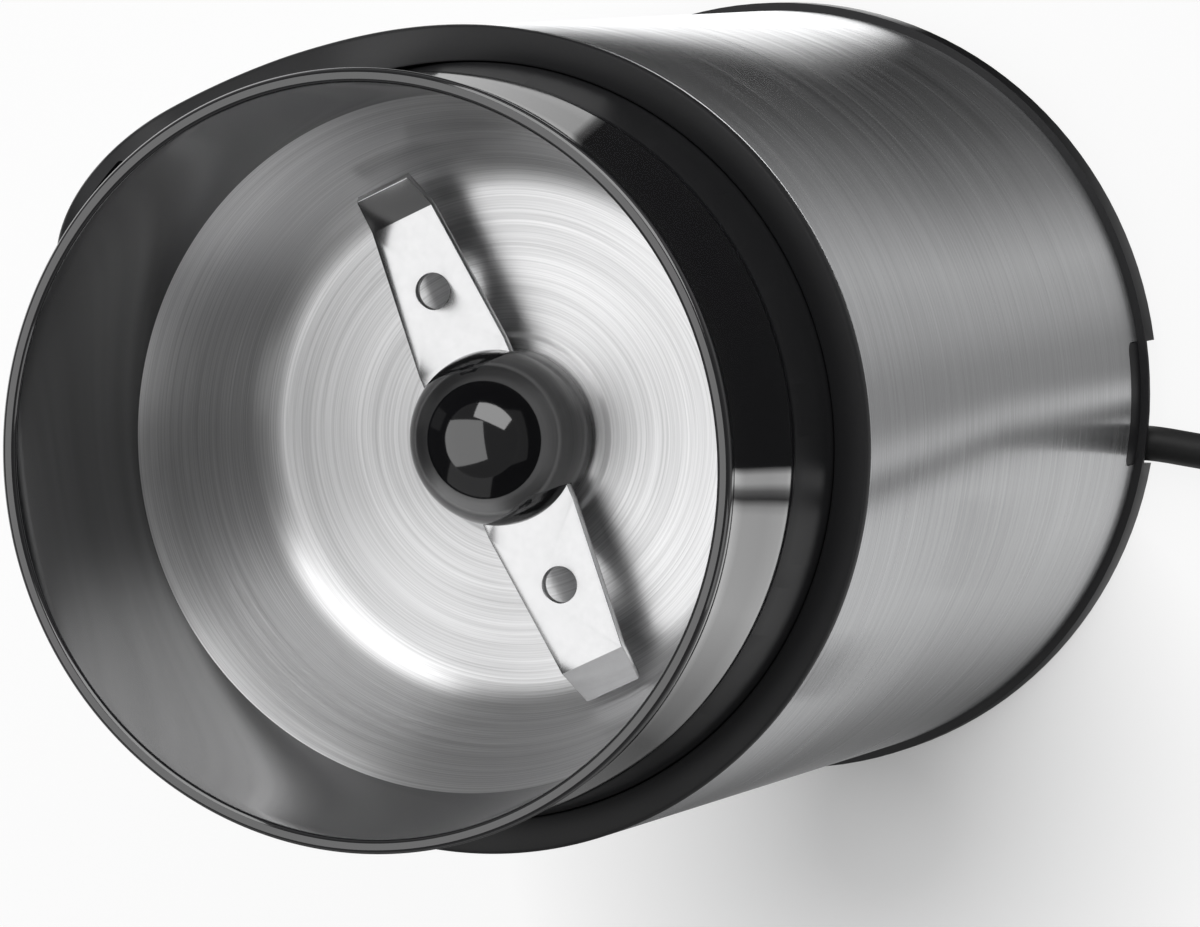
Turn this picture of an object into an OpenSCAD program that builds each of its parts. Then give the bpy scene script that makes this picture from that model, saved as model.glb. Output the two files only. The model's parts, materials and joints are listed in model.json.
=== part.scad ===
// Electric blade coffee grinder with an open cup, a brushed steel sleeve and a mains lead.
// Upright, feet on z = 0, axis of the motor on Z, switch guard at the front (-Y).
// All sizes in millimetres.

/* [Body] */
// Outer diameter of the steel sleeve
body_d = 95; // [90:1:104]
// Height of the flat shoulder above the table
shoulder_z = 110.5; // [108:0.5:120]
// Thickness of the sleeve's sheet steel
sleeve_t = 0.6; // [0.4:0.1:1]
// General wall of the plastic mouldings
wall = 1.8; // [1.4:0.1:2.2]

/* [Base] */
// How far the base rim stands proud of the sleeve
rim_proud = 1; // [0.5:0.1:2]
// Height of the base rim
rim_h = 3.8; // [3.4:0.1:6]
// Thickness of the base floor
floor_t = 2.2; // [1.6:0.1:3]
// Diameter of a rubber foot
foot_d = 11; // [8:0.5:13]
// How far a foot stands below the base
foot_h = 2; // [1.5:0.1:3]
// Number of cooling slots in the floor
vent_count = 10; // [6:1:12]

/* [Cord outlet] */
// Direction in which the cord leaves, counted from +X
cord_angle = 128; // [120:1:136]
// Width of the notch in the rim
notch_w = 15.4; // [14:0.1:18]
// How far the tab above the notch rises into the sleeve
tab_rise = 4; // [3:0.1:6]
// Sideways offset of the cord in the notch
cord_offset = -5.2; // [-5.4:0.1:-4]
// Length of the tapered strain relief
relief_len = 22; // [20:0.5:24]

/* [Shoulder and guard] */
// Radius of the parting line on the shoulder
parting_r = 43.5; // [43:0.1:44.2]
// Height of the switch guard above the shoulder
guard_h = 24.6; // [20:0.1:28]
// Radius of the guard's rounded top
guard_top_r = 15; // [11:0.5:16]
// Half width of the guard where it meets the shoulder
guard_half_w = 29; // [26:0.5:32]
// How far the guard stands proud of the sleeve
guard_proud = 0.8; // [0.2:0.1:1.2]

/* [Cup] */
// Height of the cup's lip above the shoulder
lip_h = 34.3; // [30:0.1:40]
// Outer radius of the collar at the lip
lip_r = 43.6; // [42.8:0.1:44.2]
// Outer radius of the collar at its foot
collar_foot_r = 41; // [40.8:0.1:41.4]
// Height of the collar's visible foot above the shoulder
collar_foot_h = 7.8; // [7:0.1:9]
// Wall of the collar at the lip
lip_t = 1.7; // [1.3:0.1:2]
// Thickness of the steel bowl
bowl_t = 0.6; // [0.4:0.1:1]
// Depth of the bowl below its edge
bowl_depth = 17.7; // [16:0.1:19]
// Height of the bowl's edge above the shoulder
bowl_edge_h = 5; // [4.6:0.1:5.4]
// Radius of the bowl's flat floor
bowl_floor_r = 27.5; // [24:0.5:30]

/* [Blade] */
// Distance between the two tips
blade_span = 63.4; // [56:0.2:66]
// Width at the hub
blade_root_w = 11.6; // [9:0.1:13]
// Width at the fold
blade_fold_w = 8.2; // [7:0.1:9]
// Width at the tip
blade_tip_w = 7; // [5:0.1:8]
// Thickness of the blade
blade_t = 1.2; // [0.8:0.1:1.6]
// Length of the folded tip
fold_len = 4.5; // [3:0.1:6]
// Angle of the folded tips
fold_angle = 30; // [15:1:40]
// Diameter of the two holes
blade_hole_d = 4.2; // [3:0.1:5]
// Distance of the holes from the axis
blade_hole_r = 18.5; // [17:0.1:21]
// Height of the blade above the bowl floor
blade_lift = 5.4; // [5:0.1:6.4]
// Direction of the blade at rest
blade_angle = 244.2; // [0:0.1:360]
// Radius of the domed hub
hub_r = 10.2; // [9:0.1:11.4]

/* [Motor] */
// Diameter of the shaft
shaft_d = 6; // [5:0.5:7]
// Outer radius of the stator
stator_r = 30; // [29:0.5:31]
// Height of the lamination stack
stack_h = 24; // [18:1:25]
// Radius of the armature
armature_r = 14.6; // [13.6:0.1:15.2]
// Number of commutator bars and armature slots
slot_count = 12; // [8:1:14]
// Radius of the commutator
commutator_r = 9; // [8:0.1:10]
// Number of fan vanes
vane_count = 9; // [5:1:12]
// Radius of the fan
fan_r = 21; // [17:0.5:22]

/* [Switch] */
// Width of the switch plunger
plunger_w = 8; // [6:0.1:9]
// Thickness of the switch plunger
plunger_t = 1.8; // [1.4:0.1:2]
// Travel of the switch plunger
plunger_travel = 2; // [1.5:0.1:2.5]
// How far the plunger's top lies below the top of the guard
plunger_recess = 2; // [1:0.1:4]

/* [Cord] */
// Diameter of the mains cord
cord_d = 4.4; // [4:0.1:4.6]
// Radius of the coil's outermost turn
coil_r = 30.6; // [29:0.1:33]
// Gap between neighbouring turns
coil_gap = 0.6; // [0.5:0.1:0.9]
// Number of whole loops in the coil, before its last third of a turn
coil_loops = 5; // [3:1:6]

/* [Hidden] */

$fn = 96;
// Clearances: a fixed seat, a sliding piece and a running shaft
fit = 0.1;
slide = 0.3;
run = 0.05;
over = 1;

body_r = body_d / 2;
sleeve_in = body_r - sleeve_t;
rim_r = body_r + rim_proud;
base_z = foot_h;
floor_z = base_z + floor_t;
sleeve_z0 = base_z + rim_h;
shoulder_edge = 1.2;
shoulder_bevel = 0.4;
sleeve_z1 = shoulder_z - shoulder_edge - slide;
spigot_r = sleeve_in - fit;
spigot_h = 10;

guard_r = body_r + guard_proud;
guard_arc_z = guard_h - guard_top_r;
guard_reach = norm([guard_half_w, guard_arc_z]);
guard_side = asin(guard_top_r / guard_reach) + atan2(guard_arc_z, guard_half_w);

lip_z = shoulder_z + lip_h;
collar_foot_z = shoulder_z + collar_foot_h;
edge_z = shoulder_z + bowl_edge_h;
collar_in = collar_foot_r - 1.1;
collar_spigot_r = collar_foot_r - 0.3;
gasket_t = 1;
ledge_z = edge_z - bowl_t - gasket_t;
bowl_z = edge_z - bowl_depth;
bowl_fillet = 6;
bowl_shoulder = 0.2;
bowl_boss_r = 11.8;
bowl_boss_h = 0.4;
bowl_hole_r = shaft_d / 2 + 2;
seal_flange_r = bowl_hole_r + 2.5;
seal_flange_t = 1.5;
housing_r = parting_r - fit;
housing_t = 2;
housing_z = bowl_z - bowl_t - 5.7;
flange_z = shoulder_z - spigot_h;
flange_t = 2.4;

blade_z = bowl_z + blade_lift;
hub_skirt = 4;
hub_z = blade_z - hub_skirt;
fold_r = blade_span / 2 - fold_len * cos(fold_angle);

plate_t = 2;
mount_gap = 3.5;
mount_pos = 15;
mount_r = 3.5;
screw_r = 1.5;
screw_head_r = 2.8;
screw_head_h = 1.8;
upper_plate_z = housing_z - mount_gap - plate_t;
plate_gap = 4;
coil_over = 6;
stack_z1 = upper_plate_z - plate_gap - coil_over;
stack_z0 = stack_z1 - stack_h;
stator_flat = 26;
yoke_in = 24;
shoe_r = 18;
bore_r = armature_r + 0.6;
neck_half = 9;
shoe_half = 60;
coil_half = 44;
bolt_x = 17;
bolt_y = 21.5;
bolt_r = 2;
bolt_head_r = 3.4;
bolt_head_h = 2.6;
nut_h = 2;
post_r = 3.6;
arm_half = 3;
plate_r = 20;
bearing_r = shaft_d / 2 + 3;
bearing_h = 8;
bearing_collar = 1.5;
upper_bearing_z = upper_plate_z - bearing_collar;
commutator_h = 12;
commutator_z = stack_z0 - coil_over - 1 - commutator_h;
lower_plate_z = commutator_z - 8;
fan_h = 7;
fan_disc_t = 1.2;
vane_t = 1.2;
vane_lean = 18;
fan_z = lower_plate_z - 5 - fan_h;
shaft_z0 = fan_z - 1;
shaft_z1 = blade_z + 5;
brush_z = commutator_z + commutator_h / 2;
brush_w = 6;
brush_len = 9;
holder_t = 0.8;
holder_x0 = commutator_r + 1.5;
holder_len = 15;
holder_x1 = holder_x0 + holder_len;
brush_spring_r = 1.9;
brush_wire = 0.5;
brush_turns = 4;

leg_count = 3;
leg_angle = 90;
chassis_head_r = 2.4;
leg_place = housing_r - housing_t - chassis_head_r - slide;
leg_r = 4;
foot_place = leg_place - 1;
foot_plug_r = foot_d / 2 - 1.5;
foot_plug_h = 0.9;
seat_h = 3;
thread_in = 6;
vent_r0 = 14;
vent_r1 = 28;
vent_half_w = 1.4;
vent_clear = 36;
leg_z = 15;
chassis_t = 2.5;
chassis_bite = 8.5;
chassis_z = housing_z - chassis_t;
chassis_in = 33;

plunger_y = sleeve_in - 0.6 - plunger_t / 2;
plunger_top = shoulder_z + guard_h - plunger_recess;
carriage_z = housing_z - 7.5;
carriage_h = 3;
rod_in = 3.9;
rod_y = plunger_y - rod_in;
carriage_in = 2.4;
shelf_half = 8;
shelf_in = 3;
rod_r = 1.3;
shelf_t = 2;
shelf_z = carriage_z - 12;
rod_end = shelf_z - 4;
rest_gap = 0.5;
spring_wire = 0.6;
spring_r = 2.2;
spring_turns = 5;
switch_l = 20;
switch_l0 = 13;
switch_w = 6.4;
switch_h = 10;
button_r = 1.2;
button_len = 4.4;
button_top = rod_end - rest_gap;
switch_z1 = button_top - 2.4;
switch_z0 = switch_z1 - switch_h;
terminal_len = 6;
panel_t = 2;
panel_y = rod_y - switch_w / 2 - fit;

relief_r0 = 16;
relief_tilt = 7;
relief_root_z = 6.2;
relief_root = [8, 5.4];
relief_tip = [5.8, 5];
relief_r1 = relief_r0 + relief_len * cos(relief_tilt);
relief_tip_z = relief_root_z - relief_len * sin(relief_tilt);
channel_r0 = 18;
channel_h = 7.6;
channel_wall = 1.4;
channel_side = 9.8;
notch_roof = sleeve_z0 - 0.7;
block_angle = 52;
block_place = 33;
block = [9, 13, 7];

wire_r = 0.9;
layer_gap = 0.5;
cord_r = cord_d / 2;
cord_sides = 12;
coil_sides = 6;
coil_rings = 24;
coil_pitch = cord_d + coil_gap;
layer_rise = cord_d + layer_gap;
coil_heading = 120;
tail_len = 16;
coil_turns = coil_loops + 1 / 3;
plug_len = 34;
plug_w = 26;
plug_h = 14;
plug_neck = 8;
pin_r = 2;
pin_len = 19;
pin_gap = 18.6;

// Points of the free cord past its straight start at the strain relief
CORD_ROUTE = [[-25.4, 41, 2.6], [-28, 45.2, 2.4], [-31, 50.3, 2.3], [-35.2, 57.6, 2.3],
              [-39.4, 64.9, 2.3], [-43.6, 72.2, 2.3], [-47.8, 79.5, 2.3]];

function polar(r, a, z = 0) = [r * cos(a), r * sin(a), z];
function outward(a) = [cos(a), sin(a), 0];
function unit(v) = v / norm(v);

relief_dir = polar(cos(relief_tilt), cord_angle, -sin(relief_tilt));
relief_side = cord_offset * outward(cord_angle + 90);
cord_start = polar(relief_r1, cord_angle, relief_tip_z) + relief_side;
CORD = concat([cord_start, cord_start + cord_d * relief_dir], CORD_ROUTE);
coil_start = CORD[len(CORD) - 1];
coil_enter = coil_start + cord_d * outward(coil_heading);
coil_centre = coil_enter + coil_r * outward(coil_heading - 90);

// Radius, height and place along the coil, t counted in loops; it spirals in, climbs and spirals out
function coil_at(t) =
    let (r = coil_r - coil_pitch * min(t, coil_turns - t),
         climb = min(max(2 * (t - coil_turns / 2) + 0.5, 0), 1),
         a = coil_heading + 90 - 360 * t)
    [coil_centre[0] + r * cos(a), coil_centre[1] + r * sin(a), coil_start[2] + layer_rise * climb];
coil_steps = coil_turns * coil_rings;
coil_leave = coil_at(coil_turns);
leave_heading = coil_heading - 360 * coil_turns;
COIL = concat([coil_start],
              [for (i = [0 : coil_steps]) coil_at(i / coil_rings)],
              [coil_leave + cord_d * outward(leave_heading)]);
tail_start = COIL[len(COIL) - 1];
tail_end = tail_start + tail_len * outward(leave_heading);

// Least distance between two stretches of the coil that are half a loop or more apart
coil_clear = min([for (i = [0 : len(COIL) - 1])
                  for (j = [i + coil_rings / 2 : len(COIL) - 1]) norm(COIL[i] - COIL[j])]) - cord_d;
function path_len(p) = sum_of([for (i = [1 : len(p) - 1]) norm(p[i] - p[i - 1])]);
function sum_of(v, i = 0) = i == len(v) ? 0 : v[i] + sum_of(v, i + 1);
cord_total = path_len(CORD) + path_len(COIL) + tail_len;
echo(coil_gap_to_itself = coil_clear, cord_length = cord_total);

// A round tube with flat ends along points: each ring stands square to the path
module tube(points, r, sides) {
    n = len(points);
    last = n - 1;
    rings = [for (i = [0 : last])
        let (d = unit(points[min(i + 1, last)] - points[max(i - 1, 0)]),
             s = unit(cross(d, [0, 0, 1])),
             u = cross(s, d))
        for (k = [0 : sides - 1])
            let (a = (k + 0.5) * 360 / sides)
            points[i] + r * cos(a) * s + r * sin(a) * u];
    skin = [for (i = [0 : last - 1])
        for (k = [0 : sides - 1])
            let (a = i * sides + k, b = i * sides + (k + 1) % sides)
            for (f = [[a, b, b + sides], [a, b + sides, a + sides]]) f];
    ends = [for (k = [1 : sides - 2])
        for (f = [[0, k + 1, k], [last * sides, last * sides + k, last * sides + k + 1]]) f];
    polyhedron(points = rings, faces = concat(skin, ends));
}

// A compression spring on Z with its lower end at the origin
module coil_spring(r, wire, height, turns) {
    rings = 12;
    tube([for (i = [0 : turns * rings])
          [r * cos(i * 360 / rings), r * sin(i * 360 / rings),
           wire + (height - 2 * wire) * i / (turns * rings)]], wire / 2, 6);
}

module at_each(count, radius, start = 0) {
    for (i = [0 : count - 1])
        rotate([0, 0, start + i * 360 / count])
            translate([radius, 0, 0])
                children();
}

module ring(r1, r2, z0, z1) {
    translate([0, 0, z0])
        difference() {
            cylinder(r = r1, h = z1 - z0);
            translate([0, 0, -over])
                cylinder(r = r2, h = z1 - z0 + 2 * over);
        }
}

module rod(r, z0, z1) {
    translate([0, 0, z0])
        cylinder(r = r, h = z1 - z0);
}

module box(x0, x1, y0, y1, z0, z1) {
    translate([x0, y0, z0])
        cube([x1 - x0, y1 - y0, z1 - z0]);
}

// A screw pointing up, with its head's underside at z
module screw(z, length, r = screw_r, head_r = screw_head_r, head_h = screw_head_h) {
    rod(r, z, z + length);
    rod(head_r, z - head_h, z);
}

module steel_sleeve() {
    color("silver")
        difference() {
            ring(body_r, sleeve_in, sleeve_z0, sleeve_z1);
            rotate([0, 0, cord_angle])
                box(sleeve_in - over, body_r + over, -notch_w / 2, notch_w / 2,
                    sleeve_z0 - over, sleeve_z0 + tab_rise + fit);
        }
}

module base_cover() {
    color([0.08, 0.08, 0.08])
        difference() {
            union() {
                ring(rim_r, spigot_r - wall, base_z, sleeve_z0);
                rod(rim_r - rim_proud, base_z, floor_z);
                ring(spigot_r, spigot_r - wall, base_z, sleeve_z0 + 7);
                at_each(leg_count, leg_place, leg_angle)
                    rod(leg_r, base_z, leg_z);
                rotate([0, 0, cord_angle]) {
                    channel_box(channel_wall);
                    intersection() {
                        ring(body_r, spigot_r - wall, base_z, sleeve_z0 + tab_rise);
                        box(0, rim_r, -notch_w / 2 + fit, notch_w / 2 - fit,
                            base_z, sleeve_z0 + tab_rise);
                    }
                }
            }
            rotate([0, 0, cord_angle]) {
                channel_box(0);
                box(spigot_r - wall - over, rim_r + over, -notch_w / 2, notch_w / 2,
                    base_z - over, notch_roof);
                box(channel_r0 - channel_wall - over, channel_r0 + over,
                    cord_offset - relief_root[0] / 2 - fit, cord_offset + relief_root[0] / 2 + fit,
                    relief_root_z - relief_root[1] / 2 - slide, relief_root_z + relief_root[1] / 2 + fit);
            }
            at_each(leg_count, leg_place, leg_angle) {
                rod(screw_r + fit, base_z - over, leg_z + over);
                rod(screw_head_r + fit, base_z - over, base_z + seat_h);
            }
            at_each(leg_count, foot_place, leg_angle + 60)
                rod(foot_plug_r + fit, base_z - over, base_z + foot_plug_h + fit);
            for (i = [0 : vent_count - 1])
                let (a = i * 360 / vent_count)
                    if (abs(a - cord_angle) > vent_clear)
                        rotate([0, 0, a])
                            box(vent_r0, vent_r1, -vent_half_w, vent_half_w, base_z - over, floor_z + over);
        }
}

// Space under the floor that holds the strain relief; grow adds its walls
module channel_box(grow) {
    box(channel_r0 - grow, spigot_r - wall + (grow > 0 ? over / 2 : over), -channel_side - grow,
        notch_w / 2 + grow, grow > 0 ? base_z : base_z - over, base_z + channel_h + grow);
}

module rubber_feet() {
    color([0.15, 0.15, 0.15])
        at_each(leg_count, foot_place, leg_angle + 60) {
            rod(foot_d / 2, 0, base_z);
            rod(foot_plug_r, base_z, base_z + foot_plug_h);
        }
}

module base_screws() {
    color("gray")
        at_each(leg_count, leg_place, leg_angle)
            screw(base_z + seat_h, leg_z + thread_in - base_z - seat_h);
}

module guard_face() {
    tangent = [guard_top_r * sin(guard_side), guard_arc_z + guard_top_r * cos(guard_side)];
    polygon([[-guard_half_w, -over], [-guard_half_w, 0], [-tangent[0], tangent[1]],
             [tangent[0], tangent[1]], [guard_half_w, 0], [guard_half_w, -over]]);
    translate([0, guard_arc_z])
        circle(r = guard_top_r);
}

module shoulder_ring() {
    color([0.13, 0.13, 0.13])
        difference() {
            union() {
                ring(body_r, parting_r, shoulder_z - 3, shoulder_z - shoulder_bevel);
                translate([0, 0, shoulder_z - shoulder_bevel])
                    difference() {
                        cylinder(r1 = body_r, r2 = body_r - shoulder_bevel, h = shoulder_bevel);
                        translate([0, 0, -over])
                            cylinder(r = parting_r, h = 3);
                    }
                ring(spigot_r, spigot_r - wall, flange_z, shoulder_z - 2.5);
                intersection() {
                    ring(guard_r, parting_r, shoulder_z - 3, shoulder_z + guard_h);
                    translate([0, 0, shoulder_z])
                        rotate([90, 0, 0])
                            linear_extrude(guard_r + over)
                                guard_face();
                }
            }
            ring(guard_r + over, spigot_r, shoulder_z - 4, shoulder_z - shoulder_edge);
            plunger_slot(flange_z - over, shoulder_z + guard_h + over);
        }
}

module plunger_slot(z0, z1) {
    box(-plunger_w / 2 - slide, plunger_w / 2 + slide,
        -plunger_y - plunger_t / 2 - slide, -plunger_y + plunger_t / 2 + slide, z0, z1);
}

module cup_housing() {
    color([0.13, 0.13, 0.13])
        difference() {
            rotate_extrude()
                polygon([[bearing_r + 2.5, housing_z], [housing_r, housing_z],
                         [housing_r, flange_z - flange_t], [spigot_r, flange_z - flange_t],
                         [spigot_r, flange_z - fit], [housing_r, flange_z - fit],
                         [housing_r, shoulder_z + 0.6], [collar_foot_r + 0.15, collar_foot_z],
                         [collar_spigot_r + fit, collar_foot_z], [collar_spigot_r + fit, ledge_z],
                         [collar_in - 0.1, ledge_z], [collar_in - 0.1, ledge_z - 1.2],
                         [housing_r - housing_t, ledge_z - 3], [housing_r - housing_t,
                         housing_z + housing_t], [bearing_r + 2.5, housing_z + housing_t]]);
            plunger_slot(flange_z - flange_t - over, flange_z + over);
            at_each(4, mount_pos)
                rod(screw_r + fit, housing_z - over, housing_z + housing_t + over);
            at_each(leg_count, leg_place, leg_angle)
                rod(screw_r + fit, housing_z - over, housing_z + housing_t + over);
        }
}

module cup_collar() {
    color([0.03, 0.03, 0.03])
        rotate_extrude()
            polygon(concat([[collar_in, edge_z], [collar_spigot_r, edge_z],
                            [collar_spigot_r, collar_foot_z + fit], [collar_foot_r, collar_foot_z + fit],
                            [lip_r - 0.25, lip_z - 2.2], [lip_r, lip_z - 1.6]],
                           [for (a = [0 : 15 : 90]) [lip_r - 0.6 + 0.6 * cos(a), lip_z - 0.6 + 0.6 * sin(a)]],
                           [for (a = [90 : 15 : 180])
                            [lip_r - lip_t + 0.6 + 0.6 * cos(a), lip_z - 0.6 + 0.6 * sin(a)]]));
}

// Inner outline of the bowl from the boss to the edge, offset outwards by t
bowl_arc_c = [bowl_floor_r, bowl_z + bowl_fillet];
bowl_arc_d = [collar_in, edge_z] - bowl_arc_c;
bowl_wall_a = atan2(bowl_arc_d[1], bowl_arc_d[0]) - acos(bowl_fillet / norm(bowl_arc_d));
function bowl_arc(t) = [for (i = [0 : 8]) let (a = -90 + (bowl_wall_a + 90) * i / 8)
                        bowl_arc_c + (bowl_fillet + t) * [cos(a), sin(a)]];

module grinding_bowl() {
    color("gainsboro")
        rotate_extrude()
            polygon(concat([[bowl_hole_r, bowl_z + bowl_boss_h], [bowl_boss_r - 0.6, bowl_z + bowl_boss_h],
                            [bowl_boss_r, bowl_z]],
                           bowl_arc(0),
                           [[collar_in, edge_z], [collar_spigot_r, edge_z],
                            [collar_spigot_r, edge_z - bowl_t],
                            [collar_in + bowl_shoulder, edge_z - bowl_t]],
                           [for (i = [8 : -1 : 0]) bowl_arc(bowl_t)[i]],
                           [[bowl_hole_r, bowl_z - bowl_t]]));
}

module bowl_gasket() {
    color("dimgray")
        ring(collar_spigot_r, collar_in + bowl_shoulder + run, ledge_z, ledge_z + gasket_t);
}

module shaft_seal() {
    color("dimgray")
        difference() {
            union() {
                rod(bowl_hole_r - run, bowl_z - bowl_t, bowl_z + bowl_boss_h);
                rod(seal_flange_r, bowl_z - bowl_t - seal_flange_t, bowl_z - bowl_t);
                rod(bearing_r, upper_bearing_z + bearing_h + slide, bowl_z - bowl_t);
            }
            rod(shaft_d / 2 + run, 0, lip_z);
        }
}

// The bent strip seen from the side: one half, and the same half turned round the axis
blade_mitre = blade_t / 2 * tan(fold_angle / 2);
blade_end = [fold_r + fold_len * cos(fold_angle), fold_len * sin(fold_angle)];
blade_skin = blade_t / 2 * [-sin(fold_angle), cos(fold_angle)];
BLADE_HALF = [[fold_r + blade_mitre, -blade_t / 2], blade_end - blade_skin,
              blade_end + blade_skin, [fold_r - blade_mitre, blade_t / 2]];

module blade_plan() {
    half = [[hub_r, -blade_root_w / 2], [fold_r, -blade_fold_w / 2], [fold_r + fold_len, -blade_tip_w / 2],
            [fold_r + fold_len, blade_tip_w / 2], [fold_r, blade_fold_w / 2], [hub_r, blade_root_w / 2]];
    difference() {
        polygon(concat(half, -half));
        circle(r = shaft_d / 2 + run);
        for (s = [-1, 1])
            translate([s * blade_hole_r, 0])
                circle(r = blade_hole_d / 2);
    }
}

module blade() {
    color("white")
        translate([0, 0, blade_z])
            rotate([0, 0, blade_angle])
                intersection() {
                    rotate([90, 0, 0])
                        linear_extrude(2 * blade_root_w, center = true)
                            polygon(concat(BLADE_HALF, -BLADE_HALF));
                    linear_extrude(2 * fold_len + 2 * blade_t, center = true)
                        blade_plan();
                }
}

module hub_cap() {
    color([0.04, 0.04, 0.04])
        difference() {
            union() {
                intersection() {
                    translate([0, 0, blade_z])
                        sphere(r = hub_r);
                    rod(hub_r + over, blade_z, blade_z + hub_r + over);
                }
                rod(hub_r, hub_z, blade_z);
            }
            rotate([0, 0, blade_angle])
                box(-hub_r - over, hub_r + over, -blade_root_w / 2 - fit, blade_root_w / 2 + fit,
                    blade_z - blade_t / 2 - run, blade_z + blade_t / 2 + run);
            rod(shaft_d / 2 + run, hub_z - over, shaft_z1 + fit);
        }
}

module hub_washer() {
    color("silver")
        ring(hub_r - 3, shaft_d / 2 + run, bowl_z + bowl_boss_h + 0.3, hub_z);
}

module motor_shaft() {
    color("gray")
        rod(shaft_d / 2, shaft_z0, shaft_z1);
}

module bearing(z0) {
    color("darkgoldenrod")
        ring(bearing_r, shaft_d / 2 + run, z0, z0 + bearing_h);
}

module upper_bearing() {
    bearing(upper_bearing_z);
}

module lower_bearing() {
    bearing(lower_plate_z - 3);
}

module at_bolts() {
    for (x = [-1, 1], y = [-1, 1])
        translate([x * bolt_x, y * bolt_y, 0])
            children();
}

// Outline of a bracket's plate: a disc and four arms that end round the bolts
module bracket_outline(mount_holes) {
    difference() {
        union() {
            circle(r = plate_r);
            for (x = [-1, 1], y = [-1, 1]) {
                rotate(atan2(y * bolt_y, x * bolt_x))
                    translate([0, -arm_half])
                        square([norm([bolt_x, bolt_y]), 2 * arm_half]);
                translate([x * bolt_x, y * bolt_y])
                    circle(r = post_r);
            }
        }
        circle(r = bearing_r);
        for (x = [-1, 1], y = [-1, 1])
            translate([x * bolt_x, y * bolt_y])
                circle(r = bolt_r + fit);
        if (mount_holes)
            for (a = [0 : 90 : 270])
                rotate(a)
                    translate([mount_pos, 0])
                        circle(r = screw_r + fit);
    }
}

// The plate, a collar under it for the bearing, and four posts from z0 to z1 on the stack's side
module bracket(z_plate, z0, z1, mount_holes) {
    union() {
        translate([0, 0, z_plate])
            linear_extrude(plate_t)
                bracket_outline(mount_holes);
        ring(bearing_r + 2, bearing_r, z_plate - bearing_collar, z_plate);
        at_bolts()
            ring(post_r, bolt_r + fit, z0, z1);
    }
}

module upper_bracket() {
    color("lightgray")
        bracket(upper_plate_z, stack_z1, upper_plate_z, true);
}

module lower_bracket() {
    color("lightgray")
        bracket(lower_plate_z, lower_plate_z + plate_t, stack_z0, false);
}

module motor_bolts() {
    color("gray")
        at_bolts() {
            screw(lower_plate_z, upper_plate_z + plate_t - lower_plate_z, bolt_r, bolt_head_r, bolt_head_h);
            translate([0, 0, upper_plate_z + plate_t])
                cylinder(r = bolt_head_r, h = nut_h, $fn = 6);
        }
}

module rubber_mounts() {
    color("dimgray")
        at_each(4, mount_pos)
            ring(mount_r, screw_r + fit, upper_plate_z + plate_t, housing_z);
}

module mount_screws() {
    color("gray")
        at_each(4, mount_pos) {
            rod(screw_r, upper_plate_z - 2, housing_z + housing_t);
            rod(screw_head_r, housing_z + housing_t, housing_z + housing_t + screw_head_h);
        }
}

module sector(r1, r2, half) {
    difference() {
        intersection() {
            circle(r = r1);
            polygon([[0, 0], [2 * r1 * cos(half), -2 * r1 * sin(half)], [2 * r1, -2 * r1 * sin(half)],
                     [2 * r1, 2 * r1 * sin(half)], [2 * r1 * cos(half), 2 * r1 * sin(half)]]);
        }
        circle(r = r2);
    }
}

module stator_core() {
    color("slategray")
        translate([0, 0, stack_z0])
            linear_extrude(stack_h)
                difference() {
                    union() {
                        difference() {
                            intersection() {
                                circle(r = stator_r);
                                square([3 * stator_r, 2 * stator_flat], center = true);
                            }
                            circle(r = yoke_in);
                        }
                        for (s = [0, 180])
                            rotate(s) {
                                sector(shoe_r, bore_r - 1, shoe_half);
                                translate([bore_r, -neck_half])
                                    square([yoke_in - bore_r + 1, 2 * neck_half]);
                            }
                    }
                    circle(r = bore_r);
                    for (x = [-1, 1], y = [-1, 1])
                        translate([x * bolt_x, y * bolt_y])
                            circle(r = bolt_r + fit);
                }
}

module field_coils() {
    color("chocolate")
        for (s = [0, 180])
            rotate([0, 0, s])
                difference() {
                    translate([0, 0, stack_z0 - coil_over + 0.5])
                        linear_extrude(stack_h + 2 * coil_over - 1)
                            sector(yoke_in - slide, shoe_r + slide, coil_half);
                    box(0, stator_r, -neck_half - fit, neck_half + fit, stack_z0 - fit, stack_z1 + fit);
                }
}

module armature_core() {
    color("slategray")
        translate([0, 0, stack_z0])
            linear_extrude(stack_h)
                difference() {
                    circle(r = armature_r);
                    circle(r = shaft_d / 2);
                    for (i = [0 : slot_count - 1])
                        rotate(i * 360 / slot_count)
                            translate([armature_r - 1.6, -0.8])
                                square([3, 1.6]);
                }
}

module armature_windings() {
    color("chocolate")
        for (z = [[stack_z1, 1], [stack_z0, -1]])
            translate([0, 0, z[0]])
                mirror([0, 0, z[1] > 0 ? 0 : 1])
                    rotate_extrude()
                        polygon(concat([[shaft_d / 2 + 0.5, 0], [armature_r - 1.8, 0]],
                                       [for (a = [0 : 15 : 90])
                                        [armature_r - 4.8 + 3 * cos(a), coil_over - 4 + 3 * sin(a)]],
                                       [[shaft_d / 2 + 0.5, coil_over - 2.2]]));
}

module commutator() {
    color("peru")
        difference() {
            ring(commutator_r, shaft_d / 2, commutator_z, commutator_z + commutator_h);
            at_each(slot_count, commutator_r - 0.6)
                box(0, 2, -0.2, 0.2, commutator_z - over, commutator_z + commutator_h + over);
        }
}

module brush_side() {
    for (s = [0, 180])
        rotate([0, 0, s])
            children();
}

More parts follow.
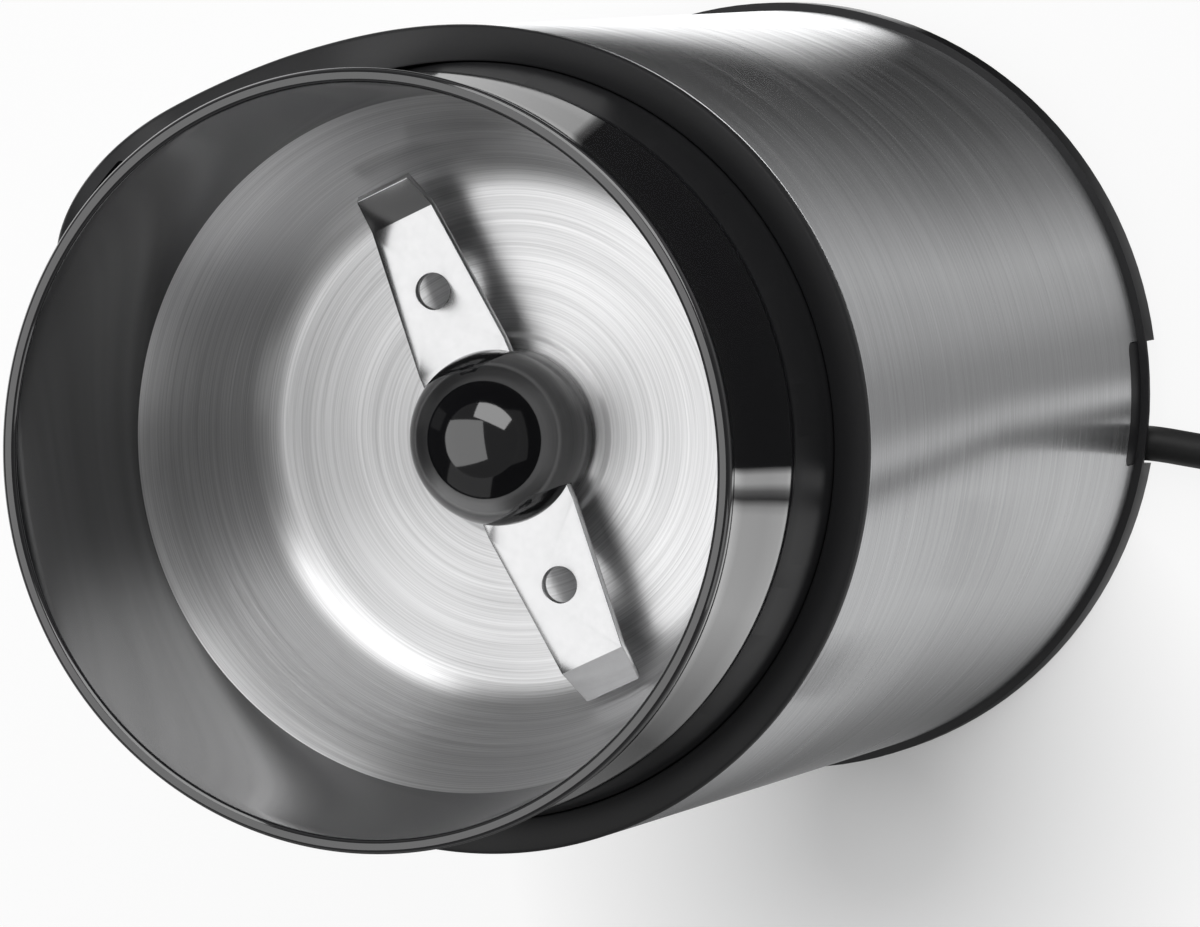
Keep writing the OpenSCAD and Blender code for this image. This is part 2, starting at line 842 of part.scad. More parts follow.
module brush_holders() {
    h = brush_w / 2 + fit;
    color("goldenrod")
        brush_side()
            difference() {
                union() {
                    box(holder_x0, holder_x1, -h - holder_t, h + holder_t,
                        brush_z - h - holder_t, brush_z + h + holder_t);
                    box(holder_x0, plate_r - 2, -h, h, lower_plate_z + plate_t, brush_z - h);
                }
                box(holder_x0 - over, holder_x1 - holder_t, -h, h, brush_z - h, brush_z + h);
            }
}

module carbon_brushes() {
    color([0.2, 0.2, 0.22])
        brush_side()
            box(commutator_r + slide, commutator_r + slide + brush_len, -brush_w / 2, brush_w / 2,
                brush_z - brush_w / 2, brush_z + brush_w / 2);
}

module brush_springs() {
    x0 = commutator_r + slide + brush_len;
    color("silver")
        brush_side()
            translate([x0 + fit, 0, brush_z])
                rotate([0, 90, 0])
                    coil_spring(brush_spring_r, brush_wire, holder_x1 - holder_t - x0 - 2 * fit, brush_turns);
}

module cooling_fan() {
    hub = shaft_d / 2 + 2.5;
    color("whitesmoke")
        translate([0, 0, fan_z]) {
            linear_extrude(fan_h - fan_disc_t)
                difference() {
                    union() {
                        circle(r = hub);
                        for (i = [0 : vane_count - 1])
                            rotate(i * 360 / vane_count)
                                translate([hub - 0.8, 0])
                                    rotate(-vane_lean)
                                        translate([0, -vane_t / 2])
                                            square([fan_r - hub - 1, vane_t]);
                    }
                    circle(r = shaft_d / 2);
                }
            translate([0, 0, fan_h - fan_disc_t])
                linear_extrude(fan_disc_t)
                    difference() {
                        circle(r = fan_r);
                        circle(r = shaft_d / 2);
                    }
        }
}

module inner_chassis() {
    color([0.3, 0.3, 0.32])
        difference() {
            union() {
                ring(housing_r, chassis_in, chassis_z, housing_z);
                at_each(leg_count, leg_place, leg_angle)
                    rod(leg_r, leg_z, housing_z);
                box(-switch_l0, switch_l0, -panel_y, -panel_y + panel_t, switch_z0, housing_z);
                box(-shelf_half, shelf_half, -rod_y - shelf_in, -panel_y + panel_t / 4, shelf_z, shelf_z + shelf_t);
            }
            at_each(leg_count, leg_place, leg_angle) {
                rod(screw_r, leg_z - over, leg_z + thread_in + over);
                rod(screw_r, housing_z - chassis_bite - over / 2, housing_z + over);
            }
            translate([0, -rod_y, 0])
                rod(rod_r + slide, shelf_z - over, shelf_z + shelf_t + over);
            box(-plunger_w / 2 - 1 - slide, plunger_w / 2 + 1 + slide, -body_r, -panel_y - slide,
                chassis_z - over, housing_z + over);
        }
}

module chassis_screws() {
    color("gray")
        at_each(leg_count, leg_place, leg_angle) {
            rod(screw_r, housing_z - chassis_bite, housing_z + housing_t);
            rod(chassis_head_r, housing_z + housing_t, housing_z + housing_t + screw_head_h);
        }
}

module switch_plunger() {
    color("black")
        union() {
            box(-plunger_w / 2, plunger_w / 2, -plunger_y - plunger_t / 2, -plunger_y + plunger_t / 2,
                carriage_z, plunger_top);
            box(-plunger_w / 2, plunger_w / 2, -plunger_y - plunger_t / 2, -rod_y + carriage_in,
                carriage_z, carriage_z + carriage_h);
            translate([0, -rod_y, 0])
                rod(rod_r, rod_end, carriage_z + 0.5);
        }
}

module plunger_spring() {
    color("silver")
        translate([0, -rod_y, shelf_z + shelf_t])
            coil_spring(spring_r, spring_wire, carriage_z - shelf_z - shelf_t, spring_turns);
}

module switch_body() {
    color("dimgray")
        difference() {
            box(-switch_l0, switch_l - switch_l0, -rod_y - switch_w / 2, -rod_y + switch_w / 2,
                switch_z0, switch_z1);
            translate([0, -rod_y, 0])
                rod(button_r + run, button_top - button_len - plunger_travel, switch_z1 + over);
            for (x = [-9, 4.5])
                translate([x, 0, switch_z0 + 2.5])
                    rotate([90, 0, 0])
                        cylinder(r = 1, h = body_r);
        }
}

module switch_button() {
    color("red")
        translate([0, -rod_y, 0])
            rod(button_r, button_top - button_len, button_top);
}

module switch_terminals() {
    color("gold")
        for (x = [-10, -2.5, 5])
            box(x - 1.6, x + 1.6, -rod_y - 0.4, -rod_y + 0.4, switch_z0 - terminal_len, switch_z0);
}

module thermal_fuse() {
    color("lightgray")
        translate([0, stator_flat + 2.2, stack_z0 + stack_h / 2])
            rotate([0, 90, 0])
                cylinder(r = 2, h = 9, center = true);
}

module terminal_block() {
    color("ivory")
        rotate([0, 0, block_angle])
            translate([block_place, 0, floor_z])
                difference() {
                    translate([-block[0] / 2, -block[1] / 2, 0])
                        cube(block);
                    for (y = [-3, 3])
                        translate([0, y, block[2] - 3])
                            cylinder(r = 1.4, h = 4);
                }
}

module inner_leads() {
    lead_z = floor_z + 3;
    block_in = block_place - block[0] / 2 - 0.2;
    lane = (leg_place + leg_r + sleeve_in) / 2;
    color("saddlebrown")
        for (y = [-3, 3])
            tube([polar(relief_r0 - 0.2, cord_angle, relief_root_z) + relief_side
                  - y / 2 * outward(cord_angle + 90),
                  polar(relief_r0 - 3, cord_angle, relief_root_z) + relief_side
                  - y / 2 * outward(cord_angle + 90),
                  polar(8.5 + y / 2, 92, lead_z), polar(9 + y / 2, 68, lead_z),
                  polar(block_in - 12, block_angle, lead_z) + y * outward(block_angle + 90) * 0.8,
                  polar(block_in - 4, block_angle, lead_z) + y * outward(block_angle + 90),
                  polar(block_in, block_angle, lead_z) + y * outward(block_angle + 90)], wire_r, 6);
    color("royalblue")
        tube([polar(block_place, block_angle, floor_z + block[2] + 0.2),
              polar(block_place + 2, block_angle, floor_z + block[2] + 5),
              polar(lane, 32, 22), polar(lane, 18, 26), polar(lane, 2, 30), polar(lane, -14, 33),
              polar(lane, -30, 36), polar(lane, -46, 38), polar(lane, -62, 39),
              [11, -rod_y, 41], [6, -rod_y, 44], [5, -rod_y, switch_z0 - terminal_len - 0.2]], wire_r, 6);
}

// Width and height of the strain relief at a share of its length
function relief_size(share, cut = 0) = relief_root * (1 - share) + relief_tip * share - [cut, cut];
relief_ribs = 5;
RELIEF = concat([[0, 0]], [for (i = [1 : relief_ribs])
                           for (part = [[0, 0], [0, 0.7], [0.35, 0.7], [0.35, 0]])
                           [(i + part[0]) / (relief_ribs + 1.5), part[1]]], [[1, 0]]);

// Tapered rubber sleeve with ribs, its root in the wall of the channel and its tip towards the rim
module strain_relief() {
    sides = 16;
    last = len(RELIEF) - 1;
    rings = [for (s = RELIEF)
        for (k = [0 : sides - 1])
            let (size = relief_size(s[0], s[1]), a = (k + 0.5) * 360 / sides)
            [s[0] * relief_len, cos(a) * size[0] / 2, sin(a) * size[1] / 2]];
    skin = [for (i = [0 : last - 1])
        for (k = [0 : sides - 1])
            let (a = i * sides + k, b = i * sides + (k + 1) % sides)
            for (f = [[a, b + sides, b], [a, a + sides, b + sides]]) f];
    ends = [for (k = [1 : sides - 2])
        for (f = [[0, k, k + 1], [last * sides, last * sides + k + 1, last * sides + k]]) f];
    color([0.1, 0.1, 0.1])
        rotate([0, 0, cord_angle])
            translate([relief_r0, cord_offset, relief_root_z])
                rotate([0, relief_tilt, 0])
                    polyhedron(points = rings, faces = concat(skin, ends));
}

module mains_cord() {
    color([0.1, 0.1, 0.1])
        tube(CORD, cord_r, cord_sides);
}

module cord_coil() {
    color([0.1, 0.1, 0.1])
        tube(COIL, cord_r, coil_sides);
}

module cord_tail() {
    color([0.1, 0.1, 0.1])
        tube([tail_start, (tail_start + tail_end) / 2, tail_end], cord_r, cord_sides);
}

module at_plug() {
    translate(tail_end)
        rotate([0, 0, leave_heading])
            children();
}

module plug_body() {
    color([0.08, 0.08, 0.08])
        at_plug()
            intersection() {
                linear_extrude(plug_h, center = true)
                    polygon([[0, -plug_neck / 2], [0, plug_neck / 2], [6, plug_neck / 2 + 1],
                             [17, plug_w / 2], [plug_len, plug_w / 2], [plug_len, -plug_w / 2],
                             [17, -plug_w / 2], [6, -plug_neck / 2 - 1]]);
                rotate([90, 0, 0])
                    linear_extrude(plug_w + 2, center = true)
                        polygon([[0, -3.4], [0, 3.4], [14, plug_h / 2], [plug_len, plug_h / 2],
                                 [plug_len, -plug_h / 2], [14, -plug_h / 2]]);
            }
}

module plug_pins() {
    color("silver")
        at_plug()
            for (y = [-1, 1])
                translate([plug_len, y * pin_gap / 2, 0])
                    rotate([0, 90, 0])
                        cylinder(r = pin_r, h = pin_len);
}

steel_sleeve();
base_cover();
rubber_feet();
base_screws();
shoulder_ring();
cup_housing();
cup_collar();
grinding_bowl();
bowl_gasket();
shaft_seal();
blade();
hub_cap();
hub_washer();
motor_shaft();
upper_bearing();
lower_bearing();
upper_bracket();
lower_bracket();
motor_bolts();
rubber_mounts();
mount_screws();
stator_core();
field_coils();
armature_core();
armature_windings();
commutator();
brush_holders();
carbon_brushes();
brush_springs();
cooling_fan();
inner_chassis();
chassis_screws();
switch_plunger();
plunger_spring();
switch_body();
switch_button();
switch_terminals();
thermal_fuse();
terminal_block();
inner_leads();
strain_relief();
mains_cord();
cord_coil();
cord_tail();
plug_body();
plug_pins();
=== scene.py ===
# %% [markdown]
# # A coffee grinder, from a measured frame to a finished picture
# The grinder stands upright on z = 0, with its motor's axis on Z. Its solids come from a CAD frame,
# so every piece here starts from a known size. Each step below first says what a piece is on the
# real object, how it could be made, and why it is made this way.

# %% Load the frame
import bpy
import json
import math
from mathutils import Matrix, Vector


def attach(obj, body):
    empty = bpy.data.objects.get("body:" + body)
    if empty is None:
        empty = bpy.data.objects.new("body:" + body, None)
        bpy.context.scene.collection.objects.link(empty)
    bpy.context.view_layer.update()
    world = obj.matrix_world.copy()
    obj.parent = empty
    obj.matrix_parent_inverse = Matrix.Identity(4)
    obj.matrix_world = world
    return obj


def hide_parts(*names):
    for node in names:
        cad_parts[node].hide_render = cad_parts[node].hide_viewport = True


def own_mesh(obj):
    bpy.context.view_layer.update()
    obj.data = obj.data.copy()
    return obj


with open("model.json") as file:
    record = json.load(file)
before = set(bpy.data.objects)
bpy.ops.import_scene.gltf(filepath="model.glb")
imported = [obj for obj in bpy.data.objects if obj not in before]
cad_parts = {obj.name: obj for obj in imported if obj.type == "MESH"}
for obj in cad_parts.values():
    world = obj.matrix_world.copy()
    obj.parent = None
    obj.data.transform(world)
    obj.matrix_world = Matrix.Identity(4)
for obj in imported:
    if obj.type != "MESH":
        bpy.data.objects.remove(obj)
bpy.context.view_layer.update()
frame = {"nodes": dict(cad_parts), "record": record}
nodes = frame["nodes"]
MM = 0.001

# %% [markdown]
# ## The camera
# The picture was taken with a long lens from above and behind the grinder, with the camera rolled
# on its side, so that the standing grinder seems to lie down. A camera could be placed by eye, but
# the ellipses of the lip, the shoulder and the base fix the tilt and the distance, so it is built
# from those numbers. Its three axes come from an azimuth, an elevation and a roll about the line of
# sight.

# %% Camera from azimuth, elevation and roll
PICTURE_WIDE, PICTURE_HIGH = 1200, 927
SENSOR, LENS = 36, 241.1
shoulder_centre = Vector((0, 0, 110.5 * MM))


def photo_camera(azimuth, elevation, roll, distance, right, up):
    a, e, r = math.radians(azimuth), math.radians(elevation), math.radians(roll)
    back = Vector((math.cos(a) * math.cos(e), math.sin(a) * math.cos(e), math.sin(e)))
    level = Vector((-math.sin(a), math.cos(a), 0))
    rise = back.cross(level)
    x = math.cos(r) * level + math.sin(r) * rise
    y = back.cross(x)
    bpy.ops.object.camera_add(location=shoulder_centre + distance * back + right * x + up * y)
    camera = bpy.context.object
    camera.name = "photo_camera"
    camera.rotation_mode = "QUATERNION"
    camera.rotation_quaternion = Matrix((x, y, back)).transposed().to_quaternion()
    camera.data.sensor_fit = "HORIZONTAL"
    camera.data.sensor_width = SENSOR
    camera.data.lens = LENS
    camera.data.clip_start = 0.05
    camera.data.clip_end = 20
    return camera


camera = photo_camera(azimuth=140.99, elevation=68.71, roll=-101.02, distance=0.9197,
                      right=14.36 * MM, up=-2.50 * MM)
bpy.context.scene.camera = camera
bpy.context.view_layer.update()
for word, height in (("lip", 144.8), ("shoulder", 110.5), ("base", 3)):
    p = camera.matrix_world.inverted() @ Vector((0, 0, height * MM))
    scale = LENS / SENSOR * PICTURE_WIDE / p.z
    print(word, "centre at px", round(PICTURE_WIDE / 2 - p.x * scale, 1),
          round(PICTURE_HIGH / 2 + p.y * scale, 1))

# %% [markdown]
# ## The mains lead
# A lead is one round tube of a fixed length. It leaves the tapered strain relief under the base,
# passes through the notch in the rim, lies on the table and is put away in a flat coil of two
# layers just outside the picture. A simulated rope would settle somewhere new each time, so its
# line is drawn from the same points and the same rule as the CAD lead, smoothed between them, and
# given a round section.

# %% The lead's route
CORD_D = 4.4
CORD_WAY = 128  # the plan direction in which it leaves
RELIEF_FROM, RELIEF_LONG = 16, 22
relief_tilt = math.radians(7)
coil_heading, coil_r, coil_pitch, layer_rise = 120, 30.6, 5.0, 4.9
turns = 5 + 1 / 3


def outward(degrees):
    a = math.radians(degrees)
    return Vector((math.cos(a), math.sin(a), 0))


relief_reach = RELIEF_FROM + RELIEF_LONG * math.cos(relief_tilt)
cord_exit = outward(CORD_WAY) * relief_reach - outward(CORD_WAY + 90) * 5.2
cord_exit.z = 6.2 - RELIEF_LONG * math.sin(relief_tilt)
relief_line = outward(CORD_WAY) * math.cos(relief_tilt) - Vector((0, 0, math.sin(relief_tilt)))
free_points = [cord_exit, cord_exit + CORD_D * relief_line] + [Vector(p) for p in (
    (-25.4, 41, 2.6), (-28, 45.2, 2.4), (-31, 50.3, 2.3), (-35.2, 57.6, 2.3),
    (-39.4, 64.9, 2.3), (-43.6, 72.2, 2.3), (-47.8, 79.5, 2.3))]
coil_start = free_points[-1]
coil_enter = coil_start + CORD_D * outward(coil_heading)
coil_centre = coil_enter + coil_r * outward(coil_heading - 90)
print("exit", [round(c, 2) for c in cord_exit], "coil centre", [round(c, 1) for c in coil_centre])


# %% The coil's rule: in along the first layer, up one diameter, out along the second
def coil_point(t):
    r = coil_r - coil_pitch * min(t, turns - t)
    climb = min(max(2 * (t - turns / 2) + 0.5, 0), 1)
    p = coil_centre + r * outward(coil_heading + 90 - 360 * t)
    p.z = coil_start.z + layer_rise * climb
    return p


coil_points = [coil_point(i / 48) for i in range(round(turns * 48) + 1)]
tail_end = coil_points[-1] + (CORD_D + 16) * outward(coil_heading - 360 * turns)


def smoothed(points, steps):
    """Points on a Catmull-Rom line through the given ones."""
    out = []
    for i in range(len(points) - 1):
        p0, p1, p2 = points[max(i - 1, 0)], points[i], points[i + 1]
        p3 = points[min(i + 2, len(points) - 1)]
        for k in range(steps):
            t = k / steps
            out.append(0.5 * (2 * p1 + (p2 - p0) * t + (2 * p0 - 5 * p1 + 4 * p2 - p3) * t ** 2
                              + (3 * p1 - p0 - 3 * p2 + p3) * t ** 3))
    return out + [points[-1]]


lead_points = smoothed(free_points, 4) + coil_points + [tail_end.lerp(coil_points[-1], 0.5),
                                                        tail_end]

# %% The lead as a curve with a round section
# A curve's box is widened by its points' radius, so that radius is the lead's own, and the
# section's depth is 1.
lead_line = bpy.data.curves.new("mains_lead", "CURVE")
lead_line.dimensions = "3D"
spline = lead_line.splines.new("POLY")
spline.points.add(len(lead_points) - 1)
for point, place in zip(spline.points, lead_points):
    point.co = (*(place * MM), 1)
    point.radius = CORD_D / 2 * MM
lead_line.bevel_depth = 1
lead_line.bevel_resolution = 6
lead_line.use_fill_caps = True
mains_lead = bpy.data.objects.new("mains_lead", lead_line)
bpy.context.scene.collection.objects.link(mains_lead)
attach(mains_lead, "housing")
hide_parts("mains_cord", "cord_coil", "cord_tail")

# %% [markdown]
# ## Tools for shaping
# Most of this grinder is turned on one axis, so most pieces start as a circle that is extruded and
# scaled from one point of their outline to the next, as a potter raises a wall. The rest are cut
# from blocks or taken from the frame's own solid and given softened edges, because no moulded or
# pressed edge is truly sharp, and a sharp edge catches no light.

# %% Selecting with care
def nothing_selected():
    if bpy.context.object and bpy.context.object.mode != "OBJECT":
        bpy.ops.object.mode_set(mode="OBJECT")
    bpy.ops.object.select_all(action="DESELECT")


def only(piece):
    nothing_selected()
    piece.select_set(True)
    bpy.context.view_layer.objects.active = piece


def soft_shading(piece, degrees=30):
    only(piece)
    bpy.ops.object.shade_smooth_by_angle(angle=math.radians(degrees))


# %% A piece turned on the Z axis
def turned(name, outline, sides=256, ends="joined"):
    """A circle, extruded and scaled along an outline of (radius, height) in mm."""
    nothing_selected()
    r, z = outline[0]
    bpy.ops.mesh.primitive_circle_add(vertices=sides, radius=r * MM, location=(0, 0, z * MM))
    piece = bpy.context.object
    piece.name = piece.data.name = name
    bpy.ops.object.mode_set(mode="EDIT")
    bpy.ops.mesh.select_all(action="SELECT")
    if ends == "capped":
        bpy.ops.mesh.edge_face_add()
    for r1, z1 in outline[1:]:
        bpy.ops.mesh.extrude_region_move(TRANSFORM_OT_translate={"value": (0, 0, (z1 - z) * MM)})
        bpy.ops.transform.resize(value=(r1 / r, r1 / r, 1), center_override=(0, 0, z1 * MM))
        r, z = r1, z1
    if ends == "joined":
        bpy.ops.mesh.select_all(action="DESELECT")
        bpy.ops.mesh.select_non_manifold(extend=False, use_wire=False, use_multi_face=False,
                                         use_non_contiguous=False, use_verts=False)
        bpy.ops.mesh.bridge_edge_loops()
    bpy.ops.mesh.select_all(action="SELECT")
    bpy.ops.mesh.normals_make_consistent(inside=False)
    bpy.ops.object.mode_set(mode="OBJECT")
    bpy.ops.object.transform_apply(location=True, rotation=True, scale=True)
    return piece


# %% A block, and cutting one piece with another
def block(name, low, high, turn=0, rounding=0, along=0):
    """A box between two corners in mm, turned about Z, its edges along one axis rounded."""
    nothing_selected()
    low, high = Vector(low), Vector(high)
    bpy.ops.mesh.primitive_cube_add(size=1, location=(low + high) / 2 * MM)
    piece = bpy.context.object
    piece.name = piece.data.name = name
    piece.scale = (high - low) * MM
    bpy.ops.object.transform_apply(location=True, rotation=True, scale=True)
    if rounding:
        bpy.ops.object.mode_set(mode="EDIT")
        bpy.ops.mesh.select_mode(type="EDGE")
        bpy.ops.mesh.select_all(action="DESELECT")
        bpy.ops.object.mode_set(mode="OBJECT")
        for edge in piece.data.edges:
            a, b = (piece.data.vertices[i].co for i in edge.vertices)
            edge.select = abs((b - a)[along]) > 0.9 * (b - a).length
        bpy.ops.object.mode_set(mode="EDIT")
        bpy.ops.mesh.bevel(offset=rounding * MM, segments=6, affect="EDGES")
        bpy.ops.mesh.select_mode(type="VERT")
        bpy.ops.object.mode_set(mode="OBJECT")
    piece.rotation_euler.z = math.radians(turn)
    bpy.ops.object.transform_apply(location=True, rotation=True, scale=True)
    return piece


def carved(piece, cutter):
    only(piece)
    cut = piece.modifiers.new("cut", "BOOLEAN")
    cut.operation, cut.solver, cut.object = "DIFFERENCE", "EXACT", cutter
    bpy.ops.object.modifier_apply(modifier=cut.name)
    bpy.data.objects.remove(cutter)
    return piece


# %% A copy of a solid of the frame, with its edges softened
def softened(name, node, width, segments=2, angle=40):
    nothing_selected()
    piece = bpy.data.objects.new(name, nodes[node].data.copy())
    bpy.context.scene.collection.objects.link(piece)
    only(piece)
    bpy.ops.mesh.customdata_custom_splitnormals_clear()
    bpy.ops.object.mode_set(mode="EDIT")
    bpy.ops.mesh.select_all(action="SELECT")
    bpy.ops.mesh.remove_doubles(threshold=2e-6)
    bpy.ops.mesh.dissolve_limited(angle_limit=math.radians(0.4))
    bpy.ops.mesh.normals_make_consistent(inside=False)
    bpy.ops.object.mode_set(mode="OBJECT")
    soft = piece.modifiers.new("soft_edges", "BEVEL")
    soft.width, soft.segments, soft.limit_method = width * MM, segments, "ANGLE"
    soft.angle_limit = math.radians(angle)
    bpy.ops.object.modifier_apply(modifier=soft.name)
    soft_shading(piece)
    return piece


def stands_for(piece, body, slot, look, *replaced):
    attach(piece, body)
    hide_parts(*replaced)
    piece.data.materials.clear()
    piece.data.materials.append(look)
    print(piece.name, "faces", len(piece.data.polygons))


# %% [markdown]
# ## Effects shared by several finishes
# Two effects come back on many pieces: grain that runs round the Z axis, and the fine skin of a
# mould with the faint unevenness of handling. Each could be drawn again in every material, but a
# node group keeps one recipe with named inputs. A group gives only values, and the shader stays in
# the material.

# %% A small helper for node groups
def effect(name, inputs, outputs):
    group = bpy.data.node_groups.new(name, "ShaderNodeTree")
    group.interface.new_socket("Vector", in_out="INPUT", socket_type="NodeSocketVector")
    for word, value in inputs.items():
        socket = group.interface.new_socket(word, in_out="INPUT", socket_type="NodeSocketFloat")
        socket.default_value = value
    for word in outputs:
        group.interface.new_socket(word, in_out="OUTPUT", socket_type="NodeSocketFloat")
    return group, group.nodes.new("NodeGroupInput"), group.nodes.new("NodeGroupOutput")


def maths(tree, operation, a, b=None):
    node = tree.nodes.new("ShaderNodeMath")
    node.operation = operation
    for i, value in enumerate((a, b)):
        if isinstance(value, (int, float)):
            node.inputs[i].default_value = value
        elif value is not None:
            tree.links.new(value, node.inputs[i])
    return node.outputs[0]


# %% Grain round the Z axis
# Noise that changes slowly round the axis and fast along the outline looks like the lines of a
# brushing belt.
grain_group, g_in, g_out = effect("round_grain", {"Across": 4200, "Along": 45, "Detail": 3},
                                  ["Grain", "Streak"])
apart = grain_group.nodes.new("ShaderNodeSeparateXYZ")
grain_group.links.new(g_in.outputs["Vector"], apart.inputs[0])
x, y, z = apart.outputs
reach = maths(grain_group, "SQRT", maths(grain_group, "ADD", maths(grain_group, "MULTIPLY", x, x),
                                         maths(grain_group, "MULTIPLY", y, y)))
outline = maths(grain_group, "ADD", reach, z)
for share, word in ((1, "Grain"), (0.16, "Streak")):
    spot = grain_group.nodes.new("ShaderNodeCombineXYZ")
    for axis, value in enumerate((x, y)):
        slow = maths(grain_group, "MULTIPLY", value, g_in.outputs["Along"])
        grain_group.links.new(slow, spot.inputs[axis])
    fast = maths(grain_group, "MULTIPLY", outline, g_in.outputs["Across"])
    grain_group.links.new(maths(grain_group, "MULTIPLY", fast, share), spot.inputs[2])
    noise = grain_group.nodes.new("ShaderNodeTexNoise")
    noise.inputs["Scale"].default_value = 1
    grain_group.links.new(g_in.outputs["Detail"], noise.inputs["Detail"])
    grain_group.links.new(spot.outputs[0], noise.inputs["Vector"])
    grain_group.links.new(noise.outputs[0], g_out.inputs[word])

# %% Mould skin and handling
skin_group, s_in, s_out = effect("mould_skin", {"Fineness": 2600, "Handling": 45},
                                 ["Skin", "Touch"])
for word, source in (("Skin", "Fineness"), ("Touch", "Handling")):
    noise = skin_group.nodes.new("ShaderNodeTexNoise")
    noise.inputs["Detail"].default_value = 3
    skin_group.links.new(s_in.outputs["Vector"], noise.inputs["Vector"])
    skin_group.links.new(s_in.outputs[source], noise.inputs["Scale"])
    skin_group.links.new(noise.outputs[0], s_out.inputs[word])
print("effects", [g.name for g in bpy.data.node_groups])


# %% [markdown]
# ## Finishes
# Metal takes nearly all its look from what it mirrors, so its colour stays plain and its grain
# changes the roughness and the height. Black plastic takes its look from how sharp its gloss is.
# Each finish is one Principled shader with its steady numbers on its own sockets, and an effect
# that varies over the surface.

# %% A finish from one shader and one effect
def finish(name, colour, metallic, rough, kind, vary=0.05, bump=0.02, tint=0.0, **numbers):
    """kind is grain or skin. vary moves the roughness, tint the colour, bump the height in mm."""
    material = bpy.data.materials.new(name)
    material.use_nodes = True
    tree = material.node_tree
    shader = tree.nodes["Principled BSDF"]
    shader.inputs["Metallic"].default_value = metallic
    place = tree.nodes.new("ShaderNodeTexCoord")
    group = tree.nodes.new("ShaderNodeGroup")
    group.node_tree = grain_group if kind == "grain" else skin_group
    tree.links.new(place.outputs["Object"], group.inputs["Vector"])
    for word, value in numbers.items():
        if word in group.inputs:
            group.inputs[word].default_value = value
        else:
            shader.inputs[word.replace("_", " ")].default_value = value
    fine, broad = group.outputs
    spread = tree.nodes.new("ShaderNodeMapRange")
    tree.links.new(broad, spread.inputs["Value"])
    spread.inputs["From Min"].default_value, spread.inputs["From Max"].default_value = 0.3, 0.7
    spread.inputs["To Min"].default_value = rough - vary
    spread.inputs["To Max"].default_value = rough + vary
    tree.links.new(spread.outputs[0], shader.inputs["Roughness"])
    ramp = tree.nodes.new("ShaderNodeValToRGB")
    ramp.color_ramp.elements[0].position, ramp.color_ramp.elements[1].position = 0.3, 0.7
    ramp.color_ramp.elements[0].color = (*[c * (1 - tint) for c in colour], 1)
    ramp.color_ramp.elements[1].color = (*[min(1, c * (1 + tint)) for c in colour], 1)
    tree.links.new(fine, ramp.inputs[0])
    tree.links.new(ramp.outputs[0], shader.inputs["Base Color"])
    relief = tree.nodes.new("ShaderNodeBump")
    relief.inputs["Distance"].default_value = bump * MM
    relief.inputs["Strength"].default_value = 1
    tree.links.new(fine, relief.inputs["Height"])
    tree.links.new(relief.outputs[0], shader.inputs["Normal"])
    return material


def brushed_round(material, amount):
    """Spreads light across the grain. The tangent runs round Z and is turned by a quarter."""
    tree = material.node_tree
    shader = tree.nodes["Principled BSDF"]
    tangent = tree.nodes.new("ShaderNodeTangent")
    tangent.direction_type, tangent.axis = "RADIAL", "Z"
    tree.links.new(tangent.outputs[0], shader.inputs["Tangent"])
    shader.inputs["Anisotropic"].default_value = amount
    shader.inputs["Anisotropic Rotation"].default_value = 0.25
    return material


# %% The finishes that show
sleeve_steel = brushed_round(finish("sleeve_steel", (0.69, 0.695, 0.705), 1, 0.25, "grain", 0.025,
                                    0.004, 0.12, Across=5600, Along=34), 0.8)
bowl_steel = brushed_round(finish("bowl_steel", (0.69, 0.69, 0.695), 1, 0.36, "grain", 0.03, 0.008,
                                  0.16, Across=5200, Along=30), 0.85)
blade_steel = finish("blade_steel", (0.55, 0.55, 0.555), 1, 0.17, "skin", 0.02, 0.0001, 0.02,
                     Fineness=900)
black_satin = finish("black_satin", (0.012, 0.012, 0.013), 0, 0.45, "skin", 0.04, 0.004, 0.06,
                     Specular_IOR_Level=0.3)
black_gloss = finish("black_gloss", (0.006, 0.006, 0.007), 0, 0.07, "skin", 0.02, 0.0003, 0.05,
                     Fineness=350, IOR=1.85)
black_rubber = finish("black_rubber", (0.011, 0.011, 0.011), 0, 0.5, "skin", 0.05, 0.01, 0.08,
                      Fineness=1500, Specular_IOR_Level=0.3)

# %% The finishes inside
grey_rubber = finish("grey_rubber", (0.16, 0.16, 0.16), 0, 0.6, "skin", 0.05, 0.01, 0.1,
                     Fineness=1500)
grey_plastic = finish("grey_plastic", (0.25, 0.25, 0.26), 0, 0.5, "skin", 0.05, 0.008, 0.06)
screw_steel = finish("screw_steel", (0.55, 0.55, 0.54), 1, 0.35, "skin", 0.08, 0.004, 0.08,
                     Fineness=1800)
shaft_steel = finish("shaft_steel", (0.5, 0.5, 0.5), 1, 0.22, "grain", 0.05, 0.003, 0.06,
                     Across=6000)
bronze = finish("bronze", (0.55, 0.36, 0.16), 1, 0.45, "skin", 0.08, 0.01, 0.12, Fineness=3500)
bracket_alloy = finish("bracket_alloy", (0.6, 0.6, 0.61), 1, 0.5, "skin", 0.08, 0.015, 0.1,
                       Fineness=1400)
lamination = finish("lamination", (0.22, 0.22, 0.24), 1, 0.45, "grain", 0.08, 0.05, 0.25,
                    Across=2000, Along=2)
copper = finish("copper", (0.62, 0.24, 0.09), 1, 0.3, "grain", 0.08, 0.12, 0.2, Across=2600,
                Along=8)
brass = finish("brass", (0.72, 0.54, 0.22), 1, 0.3, "skin", 0.08, 0.004, 0.08)
carbon = finish("carbon", (0.035, 0.035, 0.04), 0, 0.55, "skin", 0.08, 0.01, 0.2, Fineness=4000)
fan_plastic = finish("fan_plastic", (0.65, 0.65, 0.62), 0, 0.45, "skin", 0.05, 0.005, 0.04)
